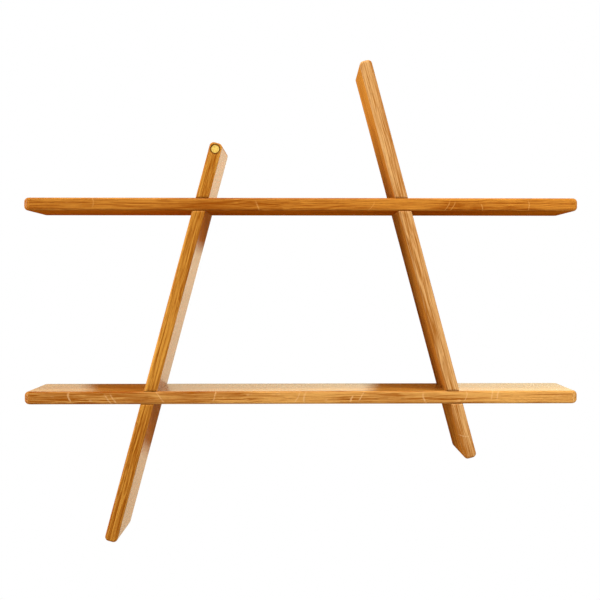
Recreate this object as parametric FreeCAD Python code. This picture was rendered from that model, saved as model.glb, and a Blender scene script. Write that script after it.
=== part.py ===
import FreeCAD, Part
import math
import os

# A wall shelf of four oak boards: two level shelves and two uprights that lean towards each other.
# The boards pass through each other in halving joints. A shelf is notched from its rear edge and an
# upright from its front edge, so a shelf's front runs on unbroken and all front edges lie flush.
# Millimetres. +X is to the right, +Y points at the wall, +Z is up. The wall is the plane y = 0, and
# the origin lies midway between the two round keyhole openings that the wall screws go into.

# Boards, all planed to one section
BOARD_THICKNESS = 18.0
BOARD_DEPTH = 160.0
END_RADIUS = 6.0               # on the edges of a board's ends that run from front to rear
ARRIS_RADIUS = 3.0             # on the edges along a board, and across an upright's ends

# Shelves
SHELF_LENGTH = 780.0
SHELF_CORNER_RADIUS = 10.0     # on the corners seen from above
SHELF_PITCH = 272.0            # from the middle of one shelf to the middle of the other

# Uprights
UPRIGHT_LENGTH = 580.0
UPRIGHT_LEAN = 15.0            # degrees from plumb
UPRIGHT_SPACING = 358.0        # between the centre lines, halfway between the shelves
UPRIGHT_STAGGER = 58.0         # the left one's middle lies this far below halfway, the right one's above

# Halving joints
LAP_CLEARANCE = 0.1            # on each side of a board in its notch
LAP_END_GAP = 0.2              # between the floors of two notches that meet
NOTCH_EASE = 2.5               # radius worked on the mouth of a notch

# Brass plug in the front edge of the left upright
PLUG_RADIUS = 6.0
PLUG_HEAD = 3.0                # thickness of its head
PLUG_BEVEL = 0.5
PLUG_SINK = 1.2                # its face below the front edge
PLUG_INSET = 9.0               # from the upright's top end to the plug's centre
PLUG_CLEARANCE = 0.3           # round the head
PLUG_SHANK_RADIUS = 2.5
PLUG_SHANK_LENGTH = 16.0
PLUG_SHANK_CLEARANCE = 0.05    # round the shank and past its end

# Keyhole hangers, let into the rear edge of the upper shelf
HANGER_SPACING = 520.0
PLATE_LENGTH = 46.0
PLATE_WIDTH = 14.0
PLATE_THICKNESS = 2.0
PLATE_CLEARANCE = 0.15         # round a plate in its recess
KEYHOLE_RADIUS = 4.0           # round opening that a wall screw's head goes into
KEYHOLE_SLOT_RADIUS = 2.1      # half the width of the slot that its shank slides up
KEYHOLE_TRAVEL = 4.0           # from the opening's centre up to the shank's seat
HEAD_ROOM_CLEARANCE = 0.3      # the pocket behind a plate is this much wider than the opening
HEAD_ROOM_DEPTH = 8.0

# Screws that hold the hanger plates
SCREW_SPACING = 33.0
SCREW_RADIUS = 1.5
SCREW_LENGTH = 18.0
SCREW_POINT = 3.0
SCREW_HEAD_RADIUS = 3.0
SCREW_RECESS_SPAN = 3.2
SCREW_RECESS_WIDTH = 0.8
SCREW_RECESS_DEPTH = 1.2
SCREW_RECESS_TAPER = 0.5       # the recess's floor as a share of its mouth
SCREW_CLEARANCE = 0.05         # round the shank and under the head

# Cutters reach this far past what they cut
OVERCUT = 5.0

LEFT = -1
RIGHT = 1

# The keyhole is centred on its plate, and the plate on the upper shelf's edge
UPPER_SHELF_HEIGHT = (KEYHOLE_TRAVEL + KEYHOLE_SLOT_RADIUS - KEYHOLE_RADIUS) / 2
LOWER_SHELF_HEIGHT = UPPER_SHELF_HEIGHT - SHELF_PITCH
SHELF_HEIGHTS = (UPPER_SHELF_HEIGHT, LOWER_SHELF_HEIGHT)
HALFWAY_HEIGHT = (UPPER_SHELF_HEIGHT + LOWER_SHELF_HEIGHT) / 2

LEAN = math.radians(UPRIGHT_LEAN)
FRONT = -BOARD_DEPTH
LAP_MIDDLE = FRONT / 2
NOTCH_HALF_WIDTH = BOARD_THICKNESS / 2 + LAP_CLEARANCE

ORIGIN = FreeCAD.Vector(0, 0, 0)
TOWARDS_WALL = FreeCAD.Vector(0, 1, 0)


def upright_x(side, height):
    """Where an upright's centre line passes a height."""
    return side * (UPRIGHT_SPACING / 2 - (height - HALFWAY_HEIGHT) * math.tan(LEAN))


def upright_axis(side):
    """The direction that an upright rises in."""
    return FreeCAD.Vector(-side * math.sin(LEAN), 0, math.cos(LEAN))


def upright_centre(side):
    """The middle of an upright's rear edge."""
    height = HALFWAY_HEIGHT + side * UPRIGHT_STAGGER
    return FreeCAD.Vector(upright_x(side, height), 0, height)


def edge_radius(edge, corner_radius):
    """The rounding of a board's edge, by the way that it runs."""
    if edge.BoundBox.YLength > BOARD_DEPTH / 2:
        return END_RADIUS
    if edge.BoundBox.ZLength > BOARD_THICKNESS / 2:
        return corner_radius
    return ARRIS_RADIUS


def rounded_board(length, corner_radius):
    """A board lying flat, centred on x and z, its rear edge on the wall and every edge rounded."""
    corner = FreeCAD.Vector(-length / 2, FRONT, -BOARD_THICKNESS / 2)
    workshop = FreeCAD.newDocument()
    blank = workshop.addObject("Part::Feature", "blank")
    blank.Shape = Part.makeBox(length, BOARD_DEPTH, BOARD_THICKNESS, corner)
    board = workshop.addObject("Part::Fillet", "board")
    board.Base = blank
    radii = [edge_radius(edge, corner_radius) for edge in blank.Shape.Edges]
    board.Edges = [(number, radius, radius) for number, radius in enumerate(radii, 1)]
    workshop.recompute()
    return board.Shape.copy()


def prism(edges, direction):
    """A solid swept straight along a direction from a closed outline."""
    return Part.Face(Part.Wire(edges)).extrude(direction)


def line(start, end):
    return Part.LineSegment(start, end).toShape()


def notch_outline(mouth, floor, half_width, place):
    """A notch's outline from its mouth to its floor, with the mouth eased to a round.

    place(along, across) puts a distance into the board and one across the notch into space.
    """
    inward = math.copysign(1.0, floor - mouth)
    outside = mouth - inward * OVERCUT
    lip = mouth + inward * NOTCH_EASE
    eased = half_width + NOTCH_EASE
    bend_along = lip - inward * NOTCH_EASE * math.sin(math.pi / 4)
    bend_across = eased - NOTCH_EASE * math.cos(math.pi / 4)
    edges = [line(place(floor, -half_width), place(floor, half_width))]
    for sign in (-1, 1):
        corner = place(lip, sign * half_width)
        bend = place(bend_along, sign * bend_across)
        rim = place(mouth, sign * eased)
        edges.append(line(place(floor, sign * half_width), corner))
        edges.append(Part.Arc(corner, bend, rim).toShape())
        edges.append(line(rim, place(outside, sign * eased)))
    edges.append(line(place(outside, -eased), place(outside, eased)))
    return Part.__sortEdges__(edges)


def shelf_notch(side, height):
    """The slanting notch in a shelf's rear edge that an upright's rear half stands in."""
    reach = BOARD_THICKNESS / 2 + OVERCUT
    start = height - reach
    outline = notch_outline(
        0.0,
        LAP_MIDDLE - LAP_END_GAP / 2,
        NOTCH_HALF_WIDTH / math.cos(LEAN),
        lambda along, across: FreeCAD.Vector(upright_x(side, start) + across, along, start),
    )
    return prism(outline, upright_axis(side) * (2 * reach / math.cos(LEAN)))


def upright_notch(side, height):
    """The level notch in an upright's front edge that a shelf's front half lies in."""
    reach = BOARD_THICKNESS / math.cos(LEAN) + OVERCUT
    start = upright_x(side, height) - reach
    outline = notch_outline(
        FRONT,
        LAP_MIDDLE + LAP_END_GAP / 2,
        NOTCH_HALF_WIDTH,
        lambda along, across: FreeCAD.Vector(start, along, height + across),
    )
    return prism(outline, FreeCAD.Vector(2 * reach, 0, 0))


def make_shelf(height):
    board = rounded_board(SHELF_LENGTH, SHELF_CORNER_RADIUS)
    board.translate(FreeCAD.Vector(0, 0, height))
    return board.cut([shelf_notch(side, height) for side in (LEFT, RIGHT)])


def make_upright(side):
    board = rounded_board(UPRIGHT_LENGTH, ARRIS_RADIUS)
    board.rotate(ORIGIN, TOWARDS_WALL, -(90.0 + side * UPRIGHT_LEAN))
    board.translate(upright_centre(side))
    return board.cut([upright_notch(side, height) for height in SHELF_HEIGHTS])


def turned(profile):
    """A solid turned about the y axis from (radius, y) corners."""
    corners = [FreeCAD.Vector(radius, along, 0) for radius, along in profile]
    outline = Part.makePolygon(corners + corners[:1])
    return Part.Face(outline).revolve(ORIGIN, TOWARDS_WALL, 360)


def plug_seat():
    """The centre of the floor of the plug's counterbore."""
    from_middle = UPRIGHT_LENGTH / 2 - PLUG_INSET
    seat = upright_centre(LEFT) + upright_axis(LEFT) * from_middle
    seat.y = FRONT + PLUG_SINK + PLUG_HEAD
    return seat


def make_plug():
    plug = turned([
        (0, -PLUG_HEAD),
        (PLUG_RADIUS - PLUG_BEVEL, -PLUG_HEAD),
        (PLUG_RADIUS, -PLUG_HEAD + PLUG_BEVEL),
        (PLUG_RADIUS, 0),
        (PLUG_SHANK_RADIUS, 0),
        (PLUG_SHANK_RADIUS, PLUG_SHANK_LENGTH - PLUG_BEVEL),
        (PLUG_SHANK_RADIUS - PLUG_BEVEL, PLUG_SHANK_LENGTH),
        (0, PLUG_SHANK_LENGTH),
    ])
    plug.translate(plug_seat())
    return plug


def plug_bore():
    """The counterbore for the plug's head and the hole for its shank."""
    seat = plug_seat()
    mouth = FreeCAD.Vector(seat.x, FRONT - OVERCUT, seat.z)
    head_hole = Part.makeCylinder(
        PLUG_RADIUS + PLUG_CLEARANCE,
        seat.y - mouth.y,
        mouth,
        TOWARDS_WALL,
    )
    shank_hole = Part.makeCylinder(
        PLUG_SHANK_RADIUS + PLUG_SHANK_CLEARANCE,
        PLUG_SHANK_LENGTH + PLUG_SHANK_CLEARANCE,
        seat,
        TOWARDS_WALL,
    )
    return head_hole.fuse(shank_hole)


def stadium(low, high, radius, depth):
    """A block with two round ends, from the wall plane into the wood; low and high are its end centres."""
    run = high - low
    across = run.cross(TOWARDS_WALL).normalize() * radius
    past_end = run * (radius / run.Length)
    outline = [
        line(low + across, high + across),
        Part.Arc(high + across, high + past_end, high - across).toShape(),
        line(high - across, low - across),
        Part.Arc(low - across, low - past_end, low + across).toShape(),
    ]
    return prism(outline, FreeCAD.Vector(0, -depth, 0))


def plate_blank(x, clearance, depth):
    half_run = (PLATE_LENGTH - PLATE_WIDTH) / 2
    low = FreeCAD.Vector(x - half_run, 0, UPPER_SHELF_HEIGHT)
    high = FreeCAD.Vector(x + half_run, 0, UPPER_SHELF_HEIGHT)
    return stadium(low, high, PLATE_WIDTH / 2 + clearance, depth)


def keyhole_run(x, radius, depth):
    """The way that a wall screw takes: in at the opening and up to its seat."""
    entry = FreeCAD.Vector(x, 0, 0)
    seat = FreeCAD.Vector(x, 0, KEYHOLE_TRAVEL)
    return stadium(entry, seat, radius, depth)


def screw_places(x):
    return [FreeCAD.Vector(x + side * SCREW_SPACING / 2, 0, UPPER_SHELF_HEIGHT) for side in (LEFT, RIGHT)]


def screw_body(place, clearance):
    """A countersunk screw, its flat head on the wall plane and its point in the wood."""
    head_radius = SCREW_HEAD_RADIUS + clearance
    shank_radius = SCREW_RADIUS + clearance
    tip = -SCREW_LENGTH - clearance
    screw = turned([
        (0, 0),
        (head_radius, 0),
        (shank_radius, shank_radius - head_radius),
        (shank_radius, tip + SCREW_POINT),
        (0, tip),
    ])
    screw.translate(place)
    return screw


def driver_recess(place):
    """The recess in a screw's head: two wings that cross and taper towards its floor."""
    wings = []
    for length, width in ((SCREW_RECESS_SPAN, SCREW_RECESS_WIDTH), (SCREW_RECESS_WIDTH, SCREW_RECESS_SPAN)):
        x_mouth = length / 2
        z_mouth = width / 2
        x_floor = x_mouth * SCREW_RECESS_TAPER
        z_floor = z_mouth * SCREW_RECESS_TAPER
        wing = Part.makeWedge(
            -x_floor, -SCREW_RECESS_DEPTH, -z_floor, -z_mouth, -x_mouth,
            x_floor, 0, z_floor, z_mouth, x_mouth,
        )
        wing.translate(place)
        wings.append(wing)
    return wings


def make_hanger_plate(x):
    plate = plate_blank(x, 0.0, PLATE_THICKNESS)
    opening = Part.makeCylinder(
        KEYHOLE_RADIUS, PLATE_THICKNESS, FreeCAD.Vector(x, -PLATE_THICKNESS, 0), TOWARDS_WALL
    )
    slot = keyhole_run(x, KEYHOLE_SLOT_RADIUS, PLATE_THICKNESS)
    screw_holes = [screw_body(place, SCREW_CLEARANCE) for place in screw_places(x)]
    return plate.cut([opening, slot] + screw_holes)


def hanger_recess(x):
    """What a hanger takes out of the shelf: the plate's bed, the screws' holes and the head's pocket."""
    bed = plate_blank(x, PLATE_CLEARANCE, PLATE_THICKNESS)
    pocket = keyhole_run(x, KEYHOLE_RADIUS + HEAD_ROOM_CLEARANCE, PLATE_THICKNESS + HEAD_ROOM_DEPTH)
    return [bed, pocket] + [screw_body(place, SCREW_CLEARANCE) for place in screw_places(x)]


def make_hanger_screws(x):
    screws = [screw_body(place, 0.0).cut(driver_recess(place)) for place in screw_places(x)]
    return Part.makeCompound(screws)


def main():
    hangers = {"left": -HANGER_SPACING / 2, "right": HANGER_SPACING / 2}
    recesses = [cut for x in hangers.values() for cut in hanger_recess(x)]
    parts = {
        "upper_shelf": make_shelf(UPPER_SHELF_HEIGHT).cut(recesses),
        "lower_shelf": make_shelf(LOWER_SHELF_HEIGHT),
        "left_upright": make_upright(LEFT).cut(plug_bore()),
        "right_upright": make_upright(RIGHT),
        "brass_plug": make_plug(),
    }
    for name, x in hangers.items():
        parts[name + "_hanger_plate"] = make_hanger_plate(x)
        parts[name + "_hanger_screws"] = make_hanger_screws(x)

    os.makedirs("parts", exist_ok=True)
    for name, shape in parts.items():
        shape.exportStep(os.path.join("parts", name + ".step"))
        print(f"{name}: {len(shape.Solids)} solid(s), {shape.Volume / 1000:.2f} cm3, valid {shape.isValid()}")


main()
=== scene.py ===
# %% [markdown]
# # An oak wall shelf in the shape of a letter A
# Four oak boards lock into each other: two lie level as shelves and two lean together as uprights. A small
# brass plug is sunk into the front edge of the left upright, and two keyhole plates hang the shelf on a wall.
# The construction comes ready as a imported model, so this lesson is about finish: oiled oak that has grain on
# every face, turned brass, bright zinc, and the side light that makes the boards stand off the wall.
# Loading comes first, because the boards' places and sizes are read from that model.

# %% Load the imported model
import math

import bmesh
import bpy
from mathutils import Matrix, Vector


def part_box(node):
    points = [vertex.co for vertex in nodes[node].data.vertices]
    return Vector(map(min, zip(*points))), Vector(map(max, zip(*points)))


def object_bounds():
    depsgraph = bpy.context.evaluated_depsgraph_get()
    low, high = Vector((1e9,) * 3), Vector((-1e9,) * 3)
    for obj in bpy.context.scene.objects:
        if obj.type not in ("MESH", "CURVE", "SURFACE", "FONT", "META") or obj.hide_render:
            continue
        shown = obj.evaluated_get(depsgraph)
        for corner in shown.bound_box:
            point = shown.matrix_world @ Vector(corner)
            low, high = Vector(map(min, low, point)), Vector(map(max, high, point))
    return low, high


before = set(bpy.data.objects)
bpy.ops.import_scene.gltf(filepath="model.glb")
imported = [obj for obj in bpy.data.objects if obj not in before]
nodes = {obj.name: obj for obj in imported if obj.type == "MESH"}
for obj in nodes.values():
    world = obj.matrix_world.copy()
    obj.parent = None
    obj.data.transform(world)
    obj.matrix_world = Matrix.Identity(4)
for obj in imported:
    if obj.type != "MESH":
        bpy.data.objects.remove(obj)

scene = bpy.context.scene
cad_low, cad_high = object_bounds()
print("pieces:", ", ".join(sorted(nodes)))
print("box in metres:", [round(size, 4) for size in cad_high - cad_low])

# %% [markdown]
# ## The camera
# The photograph was taken from straight in front, a little below the upper shelf, so the eye sees the
# underside of one shelf and the top of the other. The two shelves and the two leaning uprights fix the place
# and the lens: their edges meet the same pixels only from one spot. The picture was cut out of a wider one,
# and the camera's shift puts the middle of the lens back where it was, which a turn of the camera can't do.

# %% Place the camera
PICTURE_SIDE = 600             # pixels
FOCAL_LENGTH = 1466.5          # pixels
LENS_COLUMN = 340              # the pixel column that the lens looks straight at
SENSOR_WIDTH = 36.0            # millimetres
CAMERA_PLACE = Vector((0.0, -2.2229, -0.1065))
CAMERA_PAN = math.radians(-1.483)
CAMERA_TILT = math.radians(-0.751)

camera = bpy.data.objects.new("camera", bpy.data.cameras.new("camera"))
scene.collection.objects.link(camera)
scene.camera = camera
camera.location = CAMERA_PLACE
camera.rotation_euler = (math.radians(90) + CAMERA_TILT, 0, CAMERA_PAN)
camera.data.sensor_width = SENSOR_WIDTH
camera.data.lens = FOCAL_LENGTH * SENSOR_WIDTH / PICTURE_SIDE
camera.data.shift_x = (PICTURE_SIDE / 2 - LENS_COLUMN) / PICTURE_SIDE
print("lens:", round(camera.data.lens, 1), "mm, shift", round(camera.data.shift_x, 4))

# %% [markdown]
# ## Helpers for materials
# A material here is a small graph of nodes. It could be wired by hand, node by node, but a few verbs are
# enough to write it down: add a node, do a sum on numbers, do one on vectors. Each helper takes plain values
# and sockets alike, so the graph reads like arithmetic. Colours are written as a colour picker shows them,
# from 0 to 255.

# %% Write the node helpers
def paint(red, green, blue):
    """A colour as a picker shows it, in the linear values that a shader reads."""
    shown = [channel / 255 for channel in (red, green, blue)]
    return [((c + 0.055) / 1.055) ** 2.4 if c > 0.04045 else c / 12.92 for c in shown] + [1.0]


def fill_inputs(tree, node, inputs):
    """Sets a node's inputs to plain values, or links them to other nodes' sockets."""
    for name, value in inputs.items():
        if isinstance(value, bpy.types.NodeSocket):
            tree.links.new(value, node.inputs[name])
        else:
            node.inputs[name].default_value = value


def add_node(tree, kind, inputs=None, **options):
    node = tree.nodes.new(kind)
    for name, value in options.items():
        setattr(node, name, value)
    fill_inputs(tree, node, inputs or {})
    return node


def calc(tree, operation, *values, clamp=False):
    node = add_node(tree, "ShaderNodeMath", dict(enumerate(values)), operation=operation, use_clamp=clamp)
    return node.outputs[0]


def product(tree, first, *others):
    for other in others:
        first = calc(tree, "MULTIPLY", first, other)
    return first


def calc_vector(tree, operation, *values):
    return add_node(tree, "ShaderNodeVectorMath", dict(enumerate(values)), operation=operation).outputs[0]


def length(tree, vector):
    return add_node(tree, "ShaderNodeVectorMath", {0: vector}, operation="LENGTH").outputs["Value"]


def split(tree, vector):
    return add_node(tree, "ShaderNodeSeparateXYZ", {0: vector}).outputs


def join(tree, *values):
    return add_node(tree, "ShaderNodeCombineXYZ", dict(enumerate(values))).outputs[0]


print("a mid grey of 128 is", round(paint(128, 128, 128)[0], 3), "to a shader")

# %% [markdown]
# ## Helpers for patterns
# Every finish below is a pattern that decides between two colours. Noise makes the pattern, and stretching it
# along one axis turns blots into streaks, which is what grain needs. A ramp picks out the part of a pattern
# that counts, and a mix lays one colour over another by that much.

# %% Write the pattern helpers
def mix_colours(tree, factor, first, second, blend="MIX"):
    inputs = {0: factor, 6: first, 7: second}
    return add_node(tree, "ShaderNodeMix", inputs, data_type="RGBA", blend_type=blend).outputs[2]


def ramp(tree, value, low, high, start=0.0, end=1.0):
    """Carries a value from the span low..high to start..end, and stops at both ends."""
    inputs = {"Value": value, "From Min": low, "From Max": high, "To Min": start, "To Max": end}
    return add_node(tree, "ShaderNodeMapRange", inputs).outputs[0]


def noise(tree, vector, grains, detail=2.0):
    """Noise from 0 to 1, with this many grains to the metre along each axis."""
    stretched = calc_vector(tree, "MULTIPLY", vector, grains)
    inputs = {"Vector": stretched, "Scale": 1.0, "Detail": detail}
    return add_node(tree, "ShaderNodeTexNoise", inputs).outputs[0]


print("pattern helpers:", ", ".join(helper.__name__ for helper in (mix_colours, ramp, noise)))

# %% [markdown]
# ## Oak, part one: the tree inside the board
# Oak is a solid, not a wallpaper. A board is cut out of a trunk, so its year rings run through it and come
# out as long lines on the edges, as arches on the faces and as arcs on the ends. A flat picture would need a
# new layout for each of these. Rings measured from a pith line outside the board give all three at once.
# No two years are alike, so the rings differ in width and in strength, and they break off and start again.
# A wide board is glued from staves, and each stave was somewhere else in the tree.

# %% Write the staves and the rings
STAVE_WIDTH = 0.0537           # metres, like the other lengths here
STAVE_START = 0.1605           # the front edge lies just inside the first stave
RING_PITCH = 0.0038
RING_UNEVENNESS = 2.4          # in rings
PITH_DEPTH = 0.085             # the least that the pith lies below the board
PITH_DEPTH_SPREAD = 0.06
PITH_ASIDE = 0.02              # the least that it lies in front of the rear edge
PITH_ASIDE_SPREAD = 0.12
RING_WANDER = 0.008
WANDER_GRAINS = (4, 18, 18)    # to the metre: along the board, across it and through it
WEATHER_GRAINS = (140, 1, 1)   # the first is counted along the radius
BREAK_GRAINS = (18, 200, 200)
BREAK_SPAN = (0.36, 0.6)       # of the noise: a line is gone below it and whole above it
SPRING_DARKEST = 0.1           # of a year
SPRING_END = 0.6


def luck(tree, number):
    """A fixed chance value from 0 to 1 for each whole number."""
    return add_node(tree, "ShaderNodeTexWhiteNoise", {"W": number}, noise_dimensions="1D").outputs[0]


def stave_number(tree, board):
    across = calc(tree, "ADD", split(tree, board)[1], STAVE_START)
    return calc(tree, "FLOOR", calc(tree, "DIVIDE", across, STAVE_WIDTH))


def pith_distance(tree, board, drift, stave):
    chance = luck(tree, stave)
    aside = calc(tree, "MULTIPLY_ADD", chance, -PITH_ASIDE_SPREAD, -PITH_ASIDE)
    below = calc(tree, "MULTIPLY_ADD", chance, -PITH_DEPTH_SPREAD, -PITH_DEPTH)
    section = calc_vector(tree, "MULTIPLY", board, (0, 1, 1))
    reach = calc_vector(tree, "SUBTRACT", section, join(tree, 0.0, aside, below))
    wander = calc(tree, "SUBTRACT", noise(tree, drift, WANDER_GRAINS, detail=3.0), 0.5)
    return calc(tree, "MULTIPLY_ADD", wander, RING_WANDER, length(tree, reach))


def year_lines(tree, board, drift, stave):
    """The dark line of open pores that each spring leaves, from 0 to 1."""
    radius = pith_distance(tree, board, drift, stave)
    weather = noise(tree, join(tree, radius, stave, 0.0), WEATHER_GRAINS, detail=1.0)
    years = calc(tree, "DIVIDE", radius, RING_PITCH)
    age = calc(tree, "MULTIPLY_ADD", weather, RING_UNEVENNESS, years)
    season = calc(tree, "FRACT", age)
    darkening = ramp(tree, season, 0.0, SPRING_DARKEST)
    fading = ramp(tree, season, SPRING_DARKEST, SPRING_END, 1.0, 0.0)
    strength = luck(tree, calc(tree, "ADD", calc(tree, "FLOOR", age), stave))
    breaks = ramp(tree, noise(tree, drift, BREAK_GRAINS), *BREAK_SPAN)
    return product(tree, darkening, fading, strength, breaks)


print("rings", RING_PITCH * 1000, "mm apart, staves", STAVE_WIDTH * 1000, "mm wide")

# %% [markdown]
# ## Oak, part two: streaks and pores
# Two finer marks follow the grain. Streaks are faint, of every width, and wander, so a broad noise and a fine
# one are laid over each other, both bent by a third. Pores are short dark scratches that crowd into the
# spring wood, where oak has its widest vessels, so their strength follows the year lines.

# %% Write the streaks and the pores
STREAK_WANDER = 0.006
SWAY_GRAINS = (11, 30, 30)
BROAD_GRAINS = (4, 110, 110)
FINE_GRAINS = (18, 900, 900)
FINE_SHARE = 0.75
PORE_GRAINS = (130, 1500, 1500)
PORE_SPAN = (0.56, 0.68)       # of the noise: only its peaks become pores
QUIET_PORES = 0.35             # their strength outside the spring wood


def streaks(tree, drift):
    sway = calc(tree, "SUBTRACT", noise(tree, drift, SWAY_GRAINS), 0.5)
    sway = calc(tree, "MULTIPLY", sway, STREAK_WANDER)
    swayed = calc_vector(tree, "ADD", drift, join(tree, 0.0, sway, sway))
    broad = noise(tree, swayed, BROAD_GRAINS, detail=4.0)
    fine = noise(tree, swayed, FINE_GRAINS, detail=3.0)
    return calc(tree, "MULTIPLY_ADD", broad, 1 - FINE_SHARE, calc(tree, "MULTIPLY", fine, FINE_SHARE))


def pores(tree, drift, spring):
    scratches = ramp(tree, noise(tree, drift, PORE_GRAINS, detail=1.0), *PORE_SPAN)
    return calc(tree, "MULTIPLY", scratches, ramp(tree, spring, 0.0, 0.5, QUIET_PORES, 1.0))


print("streaks are", round(1000 / FINE_GRAINS[0]), "mm long and", round(1000 / FINE_GRAINS[1], 1), "mm wide")

# %% [markdown]
# ## Oak, part three: rays
# Rays make the wood read as oak and not as ash. They are thin sheets that stand across the rings, and on a
# board's narrow edges they come out as pale strokes, single or in small groups that lean and bend alike.
# Noise alone can't give such strokes. So the edge is measured off in short stretches, and dice are thrown for
# the group in each of them: whether it is there, how many strokes it has, and how they lean.

# %% Write the rays
RAY_STRETCH = 0.036            # metres of edge that share one throw of the dice
RAY_SPACING = 0.008            # between the strokes of a group
RAY_HALF_WIDTH = 0.0008
RAY_FADE = (0.4, 1.4)          # in half widths: a stroke is whole up to the first and gone at the second
RAY_HALF_LENGTH = 0.009
RAY_WHOLE = 0.5                # the share of its half length that is whole
RAY_LEAN = 1.6                 # run for rise, from the widest lean one way to the widest the other way
RAY_BEND = 110.0               # per metre, from one way to the other
MOST_RAYS = 3.0                # in a group
STAVE_STEP = 57.0              # numbers kept free for the stretches of one stave
SECOND_THROW = 0.5
RAGGED_GRAINS = (260, 260, 260)
FEATHER_GRAINS = (180, 900, 900)
FEATHER_SPAN = (0.3, 0.55)
BLOTCH_GRAINS = (80, 240, 130)
BLOTCH_SPAN = (0.7, 0.78)


def dice(tree, number):
    """Three chance values from -0.5 to 0.5 for each number."""
    thrown = add_node(tree, "ShaderNodeTexWhiteNoise", {"W": number}, noise_dimensions="1D").outputs["Color"]
    return split(tree, calc_vector(tree, "SUBTRACT", thrown, (0.5, 0.5, 0.5)))


def stroke_distance(tree, drift, centred, upwards, lean, bend):
    """How far a point is, along the edge, from the leaning and bending first stroke of its stretch."""
    run = product(tree, lean, RAY_LEAN, upwards)
    bow = product(tree, bend, RAY_BEND, calc(tree, "POWER", upwards, 2.0))
    away = calc(tree, "SUBTRACT", calc(tree, "MULTIPLY", centred, RAY_STRETCH), calc(tree, "ADD", run, bow))
    ragged = calc(tree, "SUBTRACT", noise(tree, drift, RAGGED_GRAINS), 0.5)
    return calc(tree, "MULTIPLY_ADD", ragged, 2.0 * RAY_HALF_WIDTH, away)


def group_mask(tree, away, count):
    """1 where the strokes of a group stand, which are one to MOST_RAYS in number, and seldom the most."""
    squared = calc(tree, "POWER", calc(tree, "ADD", count, 0.5), 2.0)
    others = calc(tree, "FLOOR", calc(tree, "MULTIPLY", squared, MOST_RAYS))
    reach = calc(tree, "MULTIPLY", calc(tree, "ADD", others, 0.5), RAY_SPACING)
    begun = calc(tree, "GREATER_THAN", away, -RAY_SPACING / 2)
    return calc(tree, "MULTIPLY", begun, calc(tree, "LESS_THAN", away, reach))


def rays(tree, board, drift, stave, share):
    """Pale strokes and blotches on an edge, from 0 to 1; share is the part of the stretches with strokes."""
    along, _, upwards = split(tree, board)
    stretches = calc(tree, "DIVIDE", along, RAY_STRETCH)
    number = calc(tree, "MULTIPLY_ADD", stave, STAVE_STEP, calc(tree, "FLOOR", stretches))
    lean, bend, height = dice(tree, number)
    chance, count, shift = dice(tree, calc(tree, "ADD", number, SECOND_THROW))
    centred = calc(tree, "SUBTRACT", calc(tree, "SUBTRACT", calc(tree, "FRACT", stretches), 0.5), shift)
    away = stroke_distance(tree, drift, centred, upwards, lean, bend)

    width = calc(tree, "MULTIPLY_ADD", bend, RAY_HALF_WIDTH, 1.2 * RAY_HALF_WIDTH)
    widths_away = calc(tree, "DIVIDE", calc(tree, "PINGPONG", away, RAY_SPACING / 2), width)
    strokes = ramp(tree, widths_away, *RAY_FADE, 1.0, 0.0)
    from_middle = calc(tree, "ABSOLUTE", calc(tree, "MULTIPLY_ADD", height, RAY_HALF_LENGTH, upwards))
    ends = ramp(tree, from_middle, RAY_WHOLE * RAY_HALF_LENGTH, RAY_HALF_LENGTH, 1.0, 0.0)
    there = calc(tree, "LESS_THAN", calc(tree, "ADD", chance, 0.5), share)
    marks = product(tree, strokes, ends, group_mask(tree, away, count), there)

    blotches = ramp(tree, noise(tree, drift, BLOTCH_GRAINS, detail=1.0), *BLOTCH_SPAN)
    marks = calc(tree, "MAXIMUM", marks, calc(tree, "MULTIPLY", blotches, share))
    feather = ramp(tree, noise(tree, drift, FEATHER_GRAINS), *FEATHER_SPAN)
    return calc(tree, "MULTIPLY", marks, feather)


print("one throw of the dice for each", RAY_STRETCH * 1000, "mm of edge")

# %% [markdown]
# ## Oak, part four: the tone of the heartwood
# A board's heartwood lies between a deep colour and a pale one. Streaks and broad clouds move it up and down,
# spring wood pulls it down, and each stave is a little apart from its neighbours. All of these are added up
# to one tone before a colour is mixed, so that marks that meet don't cover each other.

# %% Add up the tone
CLOUD_GRAINS = (5, 24, 40)
STREAK_CONTRAST = 4.0
CLOUD_CONTRAST = 1.3
TONE_START = -2.15             # puts the tone of middling streaks and clouds in the middle
SPRING_DEPTH = 0.6
STAVE_VARIETY = 0.16


def heartwood_tone(tree, given, drift, stave, streak, spring):
    """How far the wood is from deep, at 0, to pale, at 1."""
    cloud = noise(tree, drift, CLOUD_GRAINS)
    tone = calc(tree, "MULTIPLY_ADD", cloud, CLOUD_CONTRAST, TONE_START)
    tone = calc(tree, "MULTIPLY_ADD", streak, STREAK_CONTRAST, tone)
    tone = calc(tree, "MULTIPLY_ADD", spring, -SPRING_DEPTH, tone)
    # painted shade: the tone falls off along the board, deeper at the end that gets less light
    tone = calc(tree, "MULTIPLY_ADD", split(tree, given["Board"])[0], given["Slope"], tone)
    return calc(tree, "MULTIPLY_ADD", luck(tree, stave), STAVE_VARIETY, tone, clamp=True)


print("middling tone:", round((STREAK_CONTRAST + CLOUD_CONTRAST) / 2 + TONE_START, 2))
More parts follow.
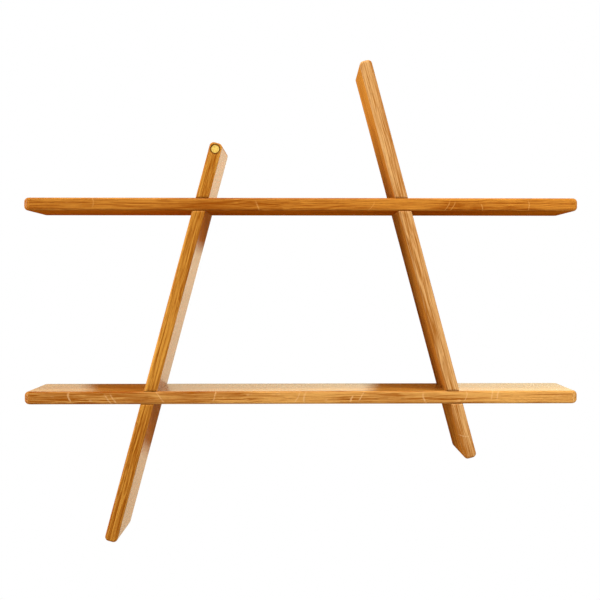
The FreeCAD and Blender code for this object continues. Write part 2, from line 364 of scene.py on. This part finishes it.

# %% [markdown]
# ## Oak, part five: one group for all the boards
# The marks become one shader group, so each board only says which way it lies, which part of the tree it
# came from and how pale or deep its heartwood is. The group gives a colour, a height for the bump and the
# film of oil. End grain drinks more oil, so the ends are deeper in colour. A maker also picks a show face for
# each board and polishes it: that face mirrors at a low angle, the edges do so faintly, and the back face
# stays matt. The back face, the underside of a shelf or the left side of an upright, is painted deep and red
# as painted shade, and the show face gets a deeper tint as painted shade for its shaded parts.

# %% Build the oak group
# the pore colour, also used for the painted shade round the plug
PORE_AND_RIM_SHADE_COLOUR = paint(92, 44, 8)
END_COLOUR = paint(124, 66, 14)
# painted shade: the back face, an underside or a left side, is tinted deep and red
BACK_SHADE_TINT = (1.0, 0.77, 0.32, 1.0)
EDGE_FILM = 0.1                # of the show face's
PORE_FILM_LOSS = 0.5
STREAK_HEIGHT = 0.6            # of a pore's depth
STAVE_JUMP = 3.7               # metres of tree between neighbouring staves
RAY_STRENGTH = 0.55
PORE_STRENGTH = 0.5
END_STRENGTH = 0.45


def new_group(name, inputs, outputs):
    tree = bpy.data.node_groups.new(name, "ShaderNodeTree")
    for direction, sockets in (("INPUT", inputs), ("OUTPUT", outputs)):
        for socket, kind in sockets.items():
            tree.interface.new_socket(socket, in_out=direction, socket_type="NodeSocket" + kind)
    return tree, tree.nodes.new("NodeGroupInput").outputs, tree.nodes.new("NodeGroupOutput").inputs


def build_oak():
    tree, given, result = new_group(
        "oiled_oak",
        {"Board": "Vector", "End": "Float", "Show": "Float", "Back": "Float", "Seed": "Float",
         "Pale": "Color", "Deep": "Color", "Show Tint": "Color",
         "Ray": "Color", "Ray Share": "Float", "Slope": "Float"},
        {"Color": "Color", "Film": "Float", "Height": "Float"},
    )
    board = given["Board"]
    stave = calc(tree, "ADD", stave_number(tree, board), given["Seed"])
    jump = join(tree, calc(tree, "MULTIPLY", stave, STAVE_JUMP), stave, stave)
    drift = calc_vector(tree, "ADD", board, jump)

    spring = year_lines(tree, board, drift, stave)
    streak = streaks(tree, drift)
    scratch = pores(tree, drift, spring)
    wide = calc(tree, "ADD", given["Show"], given["Back"])
    edge = calc(tree, "SUBTRACT", calc(tree, "SUBTRACT", 1.0, wide), given["End"], clamp=True)
    fleck = calc(tree, "MULTIPLY", rays(tree, board, drift, stave, given["Ray Share"]), edge)

    tone = heartwood_tone(tree, given, drift, stave, streak, spring)
    colour = mix_colours(tree, tone, given["Deep"], given["Pale"])
    colour = mix_colours(tree, calc(tree, "MULTIPLY", fleck, RAY_STRENGTH), colour, given["Ray"])
    colour = mix_colours(tree, calc(tree, "MULTIPLY", scratch, PORE_STRENGTH), colour, PORE_AND_RIM_SHADE_COLOUR)
    colour = mix_colours(tree, calc(tree, "MULTIPLY", given["End"], END_STRENGTH), colour, END_COLOUR)
    # painted shade: the show face is tinted deeper all over, for the colour of its shaded parts
    colour = mix_colours(tree, given["Show"], colour, given["Show Tint"], blend="MULTIPLY")
    # painted shade on the back face
    colour = mix_colours(tree, given["Back"], colour, BACK_SHADE_TINT, blend="MULTIPLY")
    tree.links.new(colour, result["Color"])

    film = calc(tree, "MULTIPLY_ADD", edge, EDGE_FILM, given["Show"])
    film = calc(tree, "MULTIPLY", film, calc(tree, "MULTIPLY_ADD", scratch, -PORE_FILM_LOSS, 1.0))
    tree.links.new(film, result["Film"])
    height = calc(tree, "SUBTRACT", calc(tree, "MULTIPLY", streak, STREAK_HEIGHT), scratch)
    tree.links.new(height, result["Height"])
    return tree


oak = build_oak()
print("oak group:", len(oak.nodes), "nodes")

# %% [markdown]
# ## The four boards
# No two boards come from the same tree: the upper shelf is the deepest and the right upright the palest, as
# in the photograph. A board is also painted deeper towards one end than the other, as painted shade where
# less light reaches it, and its shade falloff says by how much. Its show shade tint deepens the show face as
# painted shade. One group with a few values for each board is easier to judge than four materials, because
# boards are compared with each other.

# %% Choose the four boards
UPRIGHT_LEAN = 15.0            # degrees from plumb
LEVEL = 0.0
LEFT_TURN = 90.0 + UPRIGHT_LEAN
RIGHT_TURN = 90.0 - UPRIGHT_LEAN
BOARDS = {
    "upper_shelf": {
        "turn": LEVEL, "Seed": 6.0, "Pale": paint(200, 130, 46), "Deep": paint(144, 70, 2),
        "Ray": paint(222, 160, 84), "Ray Share": 0.25, "Slope": 0.25,
        "Show Tint": (1.0, 0.92, 0.62, 1.0),
    },
    "lower_shelf": {
        "turn": LEVEL, "Seed": 17.0, "Pale": paint(216, 158, 82), "Deep": paint(152, 80, 4),
        "Ray": paint(240, 192, 130), "Ray Share": 0.5, "Slope": 0.8,
        "Show Tint": (1.0, 0.98, 0.7, 1.0),
    },
    "left_upright": {
        "turn": LEFT_TURN, "Seed": 35.0, "Pale": paint(212, 148, 58), "Deep": paint(152, 80, 4),
        "Ray": paint(224, 164, 90), "Ray Share": 0.08, "Slope": -0.2,
        "Show Tint": (0.85, 0.6, 0.3, 1.0),
    },
    "right_upright": {
        "turn": RIGHT_TURN, "Seed": 48.0, "Pale": paint(216, 166, 104), "Deep": paint(164, 98, 30),
        "Ray": paint(234, 192, 136), "Ray Share": 0.15, "Slope": -0.35,
        "Show Tint": (1.0, 0.92, 0.62, 1.0),
    },
}
print("shares of ray strokes:", {name: board["Ray Share"] for name, board in BOARDS.items()})

# %% [markdown]
# ## Oak on the boards
# Each board gets its own material from the group. A Mapping node turns the frame's coordinates into the
# board's own, with the grain along its length, so the uprights' rings lean with them. The same turn, put on
# the direction that a surface faces, tells ends, show face and back face apart, and leaves the rounded
# arrises the colour of the edges. The oil is a coat over the wood, because it mirrors without a colour.

# %% Give the boards their oak
FACING = (0.95, 0.995)         # a face fades in from the first to the second, where 1 is square on
FILM_ROUGHNESS = 0.2
BUMP_STRENGTH = 0.25
BUMP_HEIGHT = 0.0003


def oak_material(name, turn, choices):
    material = bpy.data.materials.new("oak_" + name)
    material.use_nodes = True
    tree = material.node_tree
    low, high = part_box(name)
    centre = (low + high) / 2
    spot = add_node(tree, "ShaderNodeTexCoord").outputs
    lie = {"Rotation": (0, math.radians(turn), 0)}
    place = {"Vector": spot["Object"], "Location": (centre.x, 0, centre.z), **lie}
    board = add_node(tree, "ShaderNodeMapping", place, vector_type="TEXTURE").outputs[0]
    facing = {"Vector": spot["Normal"], **lie}
    normal = add_node(tree, "ShaderNodeMapping", facing, vector_type="TEXTURE").outputs[0]
    along, _, upwards = split(tree, normal)
    end = ramp(tree, calc(tree, "ABSOLUTE", along), *FACING)
    show = ramp(tree, upwards, *FACING)
    # the back face is the one that the group paints with painted shade
    back = ramp(tree, calc(tree, "MULTIPLY", upwards, -1.0), *FACING)

    grain = add_node(tree, "ShaderNodeGroup", node_tree=oak)
    fill_inputs(tree, grain, {"Board": board, "End": end, "Show": show, "Back": back, **choices})
    bump = {"Strength": BUMP_STRENGTH, "Distance": BUMP_HEIGHT, "Height": grain.outputs["Height"]}
    fill_inputs(tree, tree.nodes["Principled BSDF"], {
        "Base Color": grain.outputs["Color"],
        "Normal": add_node(tree, "ShaderNodeBump", bump).outputs[0],
        "Specular IOR Level": 0.0,
        "Coat Weight": grain.outputs["Film"],
        "Coat Roughness": FILM_ROUGHNESS,
    })
    return material


for name, board in BOARDS.items():
    choices = {socket: value for socket, value in board.items() if socket != "turn"}
    nodes[name].material_slots[0].material = oak_material(name, board["turn"], choices)
    print(name, "turned", board["turn"], "degrees")

# %% [markdown]
# ## Metal
# The plug is turned brass, left bright, and the hanger plates and their screws are zinc plated steel. Both
# are metals, so their colour is in the reflection. Bare metal in one plain colour looks like plastic, so a
# fine noise clouds its polish: where it is duller, it is rougher too.

# %% Give the metals their finish
TARNISH_GRAINS = (420, 420, 420)
TARNISH_SPAN = (0.35, 0.7)
TARNISH_ROUGHNESS = 0.12


def metal_material(name, bright, dull, roughness):
    material = bpy.data.materials.new(name)
    material.use_nodes = True
    tree = material.node_tree
    spot = add_node(tree, "ShaderNodeTexCoord").outputs["Object"]
    tarnish = ramp(tree, noise(tree, spot, TARNISH_GRAINS, detail=3.0), *TARNISH_SPAN)
    fill_inputs(tree, tree.nodes["Principled BSDF"], {
        "Base Color": mix_colours(tree, tarnish, bright, dull),
        "Roughness": calc(tree, "MULTIPLY_ADD", tarnish, TARNISH_ROUGHNESS, roughness),
        "Metallic": 1.0,
    })
    return material


brass = metal_material("brass", bright=paint(255, 222, 120), dull=paint(226, 180, 82), roughness=0.3)
zinc = metal_material("zinc_steel", bright=paint(200, 202, 204), dull=paint(160, 164, 168), roughness=0.34)
for name, node in nodes.items():
    if name not in BOARDS:
        node.material_slots[0].material = brass if name == "brass_plug" else zinc
        print(name, "is", node.material_slots[0].material.name)

# %% [markdown]
# ## The plug and the painted shade round it
# A lathe leaves fine circles on the plug's face. They could be cut as grooves, but they are finer than a
# pixel, so a sine of the distance from the plug's middle gives them as a bump. Round the sunk plug, the same
# distance, measured from the plug's face, gives a dark ring in the wood: painted shade where the recess is
# shaded.

# %% Finish the plug
CIRCLE_PITCH = 0.0005
CIRCLE_STRENGTH = 0.3
CIRCLE_HEIGHT = 0.00004
RIM_SHADE_WIDTH = 0.0022


def distance_from(tree, centre, axes):
    """How far a point is from the centre, counted only along the given axes."""
    spot = add_node(tree, "ShaderNodeTexCoord").outputs["Object"]
    reach = calc_vector(tree, "MULTIPLY", calc_vector(tree, "SUBTRACT", spot, centre), axes)
    return length(tree, reach)


def turn_circles(material, centre):
    tree = material.node_tree
    radius = distance_from(tree, centre, (1, 0, 1))
    wave = calc(tree, "SINE", calc(tree, "MULTIPLY", radius, math.tau / CIRCLE_PITCH))
    bump = {"Strength": CIRCLE_STRENGTH, "Distance": CIRCLE_HEIGHT, "Height": wave}
    normal = add_node(tree, "ShaderNodeBump", bump).outputs[0]
    fill_inputs(tree, tree.nodes["Principled BSDF"], {"Normal": normal})


def paint_rim_shade(material, centre, radius):
    tree = material.node_tree
    shader = tree.nodes["Principled BSDF"]
    wood = shader.inputs["Base Color"].links[0].from_socket
    # painted shade: a dark ring in the wood round the sunk plug, where its recess is shaded
    rim = ramp(tree, distance_from(tree, centre, (1, 1, 1)), radius, radius + RIM_SHADE_WIDTH, 1.0, 0.0)
    fill_inputs(tree, shader, {"Base Color": mix_colours(tree, rim, wood, PORE_AND_RIM_SHADE_COLOUR)})


plug_low, plug_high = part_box("brass_plug")
plug_centre = (plug_low + plug_high) / 2
plug_face = Vector((plug_centre.x, plug_low.y, plug_centre.z))
plug_radius = (plug_high.x - plug_low.x) / 2
turn_circles(brass, plug_centre)
paint_rim_shade(nodes["left_upright"].material_slots[0].material, plug_face, plug_radius)
print("plug radius:", round(plug_radius * 1000, 1), "mm, with a rim of", RIM_SHADE_WIDTH * 1000, "mm")

# %% [markdown]
# ## The floor
# The photograph shows the shelf against white, and the floor lies far below, because the shelf hangs. A matt
# floor alone would look grey beside a white world. So the camera sees a little glow on it, which gives no
# light to the boards, and the shelf's shadow still shows.

# %% Build the floor
FLOOR_HEIGHT = -1.3
FLOOR_COLOUR = paint(190, 184, 176)
FLOOR_GLOW = 0.52
STAGE_REACH = 2.6


def stage_plane(name, corner, first, second):
    shape = bmesh.new()
    corners = [corner, corner + first, corner + first + second, corner + second]
    shape.faces.new([shape.verts.new(place) for place in corners])
    mesh = bpy.data.meshes.new(name)
    shape.to_mesh(mesh)
    shape.free()
    plane = bpy.data.objects.new(name, mesh)
    scene.collection.objects.link(plane)
    return plane


def empty_material(name):
    material = bpy.data.materials.new(name)
    material.use_nodes = True
    material.node_tree.nodes.clear()
    return material, material.node_tree


def floor_material(colour, glow):
    """A plain matt surface that the camera sees a little brighter."""
    material, tree = empty_material("floor")
    path = add_node(tree, "ShaderNodeLightPath").outputs
    matt = add_node(tree, "ShaderNodeBsdfDiffuse", {"Color": colour}).outputs[0]
    seen = calc(tree, "MULTIPLY", path["Is Camera Ray"], glow)
    light = add_node(tree, "ShaderNodeEmission", {"Strength": seen}).outputs[0]
    both = add_node(tree, "ShaderNodeAddShader", {0: matt, 1: light}).outputs[0]
    add_node(tree, "ShaderNodeOutputMaterial", {"Surface": both})
    return material


rightwards = Vector((2 * STAGE_REACH, 0, 0))
floor_corner = Vector((-STAGE_REACH, -STAGE_REACH, FLOOR_HEIGHT))
floor = stage_plane("floor", floor_corner, rightwards, Vector((0, 2 * STAGE_REACH, 0)))
floor.data.materials.append(floor_material(FLOOR_COLOUR, FLOOR_GLOW))
print("floor at", FLOOR_HEIGHT, "m")

# %% [markdown]
# ## The wall
# Polished boards mirror the wall behind them where they are seen at a low angle: tops and right sides are
# pale where that wall is lit, and deep where a board shades it. So a wall is part of the light here. It is
# there only to be mirrored: the camera doesn't see it, and it casts neither shadow nor light, so the shelf
# can be looked at from behind too. For the same reason, mirror images that start right in front of the wall
# pass through it, or the hanger plates would look black. Oak throws warm light on a wall, and a faint glow
# stands for it, so the shaded parts mirror a red-brown.

# %% Build the wall
WALL_GAP = 0.003
WALL_NEAR = 0.008              # mirror images pass through the wall within this distance
WALL_COLOUR = paint(162, 164, 140)
WALL_GLOW = (0.2, 0.045, 0.0, 1.0)


def wall_material(colour, glow):
    """A matt, faintly glowing surface that is clear to mirror images that start right in front of it."""
    material, tree = empty_material("wall")
    travelled = add_node(tree, "ShaderNodeLightPath").outputs["Ray Length"]
    near = calc(tree, "LESS_THAN", travelled, WALL_NEAR)
    matt = add_node(tree, "ShaderNodeBsdfDiffuse", {"Color": colour}).outputs[0]
    warmth = add_node(tree, "ShaderNodeEmission", {"Color": glow}).outputs[0]
    warmed = add_node(tree, "ShaderNodeAddShader", {0: matt, 1: warmth}).outputs[0]
    clear = add_node(tree, "ShaderNodeBsdfTransparent").outputs[0]
    surface = add_node(tree, "ShaderNodeMixShader", {0: near, 1: warmed, 2: clear}).outputs[0]
    add_node(tree, "ShaderNodeOutputMaterial", {"Surface": surface})
    return material


wall_corner = Vector((-STAGE_REACH, WALL_GAP, FLOOR_HEIGHT))
wall = stage_plane("wall", wall_corner, rightwards, Vector((0, 0, STAGE_REACH)))
wall.data.materials.append(wall_material(WALL_COLOUR, WALL_GLOW))
wall.visible_camera = False
wall.visible_shadow = False
wall.visible_diffuse = False
print("wall", WALL_GAP * 1000, "mm behind the boards")

# %% [markdown]
# ## The world
# A white world would light the boards from all sides and wash their shadows out. So the world is white only
# where it is seen or mirrored, and nearly dark as a light.

# %% Light the world
WORLD_LIGHT = 0.05


def light_world(strength):
    """White where it is seen or mirrored, and dimmer as light."""
    world = bpy.data.worlds.new("studio")
    scene.world = world
    world.use_nodes = True
    tree = world.node_tree
    tree.nodes.clear()
    path = add_node(tree, "ShaderNodeLightPath").outputs
    seen = calc(tree, "ADD", path["Is Camera Ray"], path["Is Glossy Ray"])
    seen = calc(tree, "ADD", seen, path["Is Transmission Ray"], clamp=True)
    level = ramp(tree, seen, 0.0, 1.0, strength, 1.0)
    backdrop = add_node(tree, "ShaderNodeBackground", {"Color": (1, 1, 1, 1), "Strength": level}).outputs[0]
    add_node(tree, "ShaderNodeOutputWorld", {"Surface": backdrop})


light_world(WORLD_LIGHT)
print("the world gives", WORLD_LIGHT, "of full light")

# %% [markdown]
# ## The lamps
# The shadows in the photograph show that its light comes from the right, a little above and in front. The
# wall has a small lamp of its own there, so that the mirrored shadows are crisp, and a larger key lamp lights
# the boards. Shaded tops and left sides are still clear in the photograph, so a broad lamp overhead and one
# on the left fill them in. A last lamp stands behind for the views of the back. The key and rear lamps have
# no mirror image, because it would be a white glare on the polished faces.

# %% Hang the lamps
LAMPS = {                      # direction, distance and side in metres, and level
    "wall_lamp": ((0.45, -0.78, 0.31), 1.8, 0.2, 3.1),
    "key_lamp": ((0.645, -0.727, 0.3), 2.6, 0.5, 0.72),
    "overhead_lamp": ((-0.1, -0.32, 0.94), 3.0, 2.0, 1.15),
    "fill_lamp": ((-0.93, -0.14, 0.12), 3.0, 1.6, 1.02),
    "rear_lamp": ((0.2, 0.97, 0.14), 3.0, 1.4, 0.6),
}
NOT_MIRRORED = ("key_lamp", "rear_lamp")
middle = (cad_low + cad_high) / 2


def light_group(name, link_state):
    """The wall in a collection that a lamp can be told to light alone or to leave alone."""
    group = bpy.data.collections.new(name)
    group.objects.link(wall)
    group.collection_objects[0].light_linking.link_state = link_state
    return group


def soft_lamp(name, direction, distance, side, level):
    """An area lamp that shows a white card facing it at the given level, where 1 is white."""
    light = bpy.data.lights.new(name, "AREA")
    light.size = side
    light.energy = level * (math.pi * distance) ** 2
    lamp = bpy.data.objects.new(name, light)
    scene.collection.objects.link(lamp)
    way = Vector(direction).normalized()
    lamp.location = middle + distance * way
    lamp.rotation_euler = (-way).to_track_quat("-Z", "Y").to_euler()
    return lamp


only_the_wall = light_group("only_the_wall", "INCLUDE")
not_the_wall = light_group("not_the_wall", "EXCLUDE")
for name, choices in LAMPS.items():
    lamp = soft_lamp(name, *choices)
    lamp.light_linking.receiver_collection = only_the_wall if name == "wall_lamp" else not_the_wall
    lamp.visible_glossy = name not in NOT_MIRRORED
    print(name, "at", [round(v, 2) for v in lamp.location])
scene.view_settings.view_transform = "Standard"
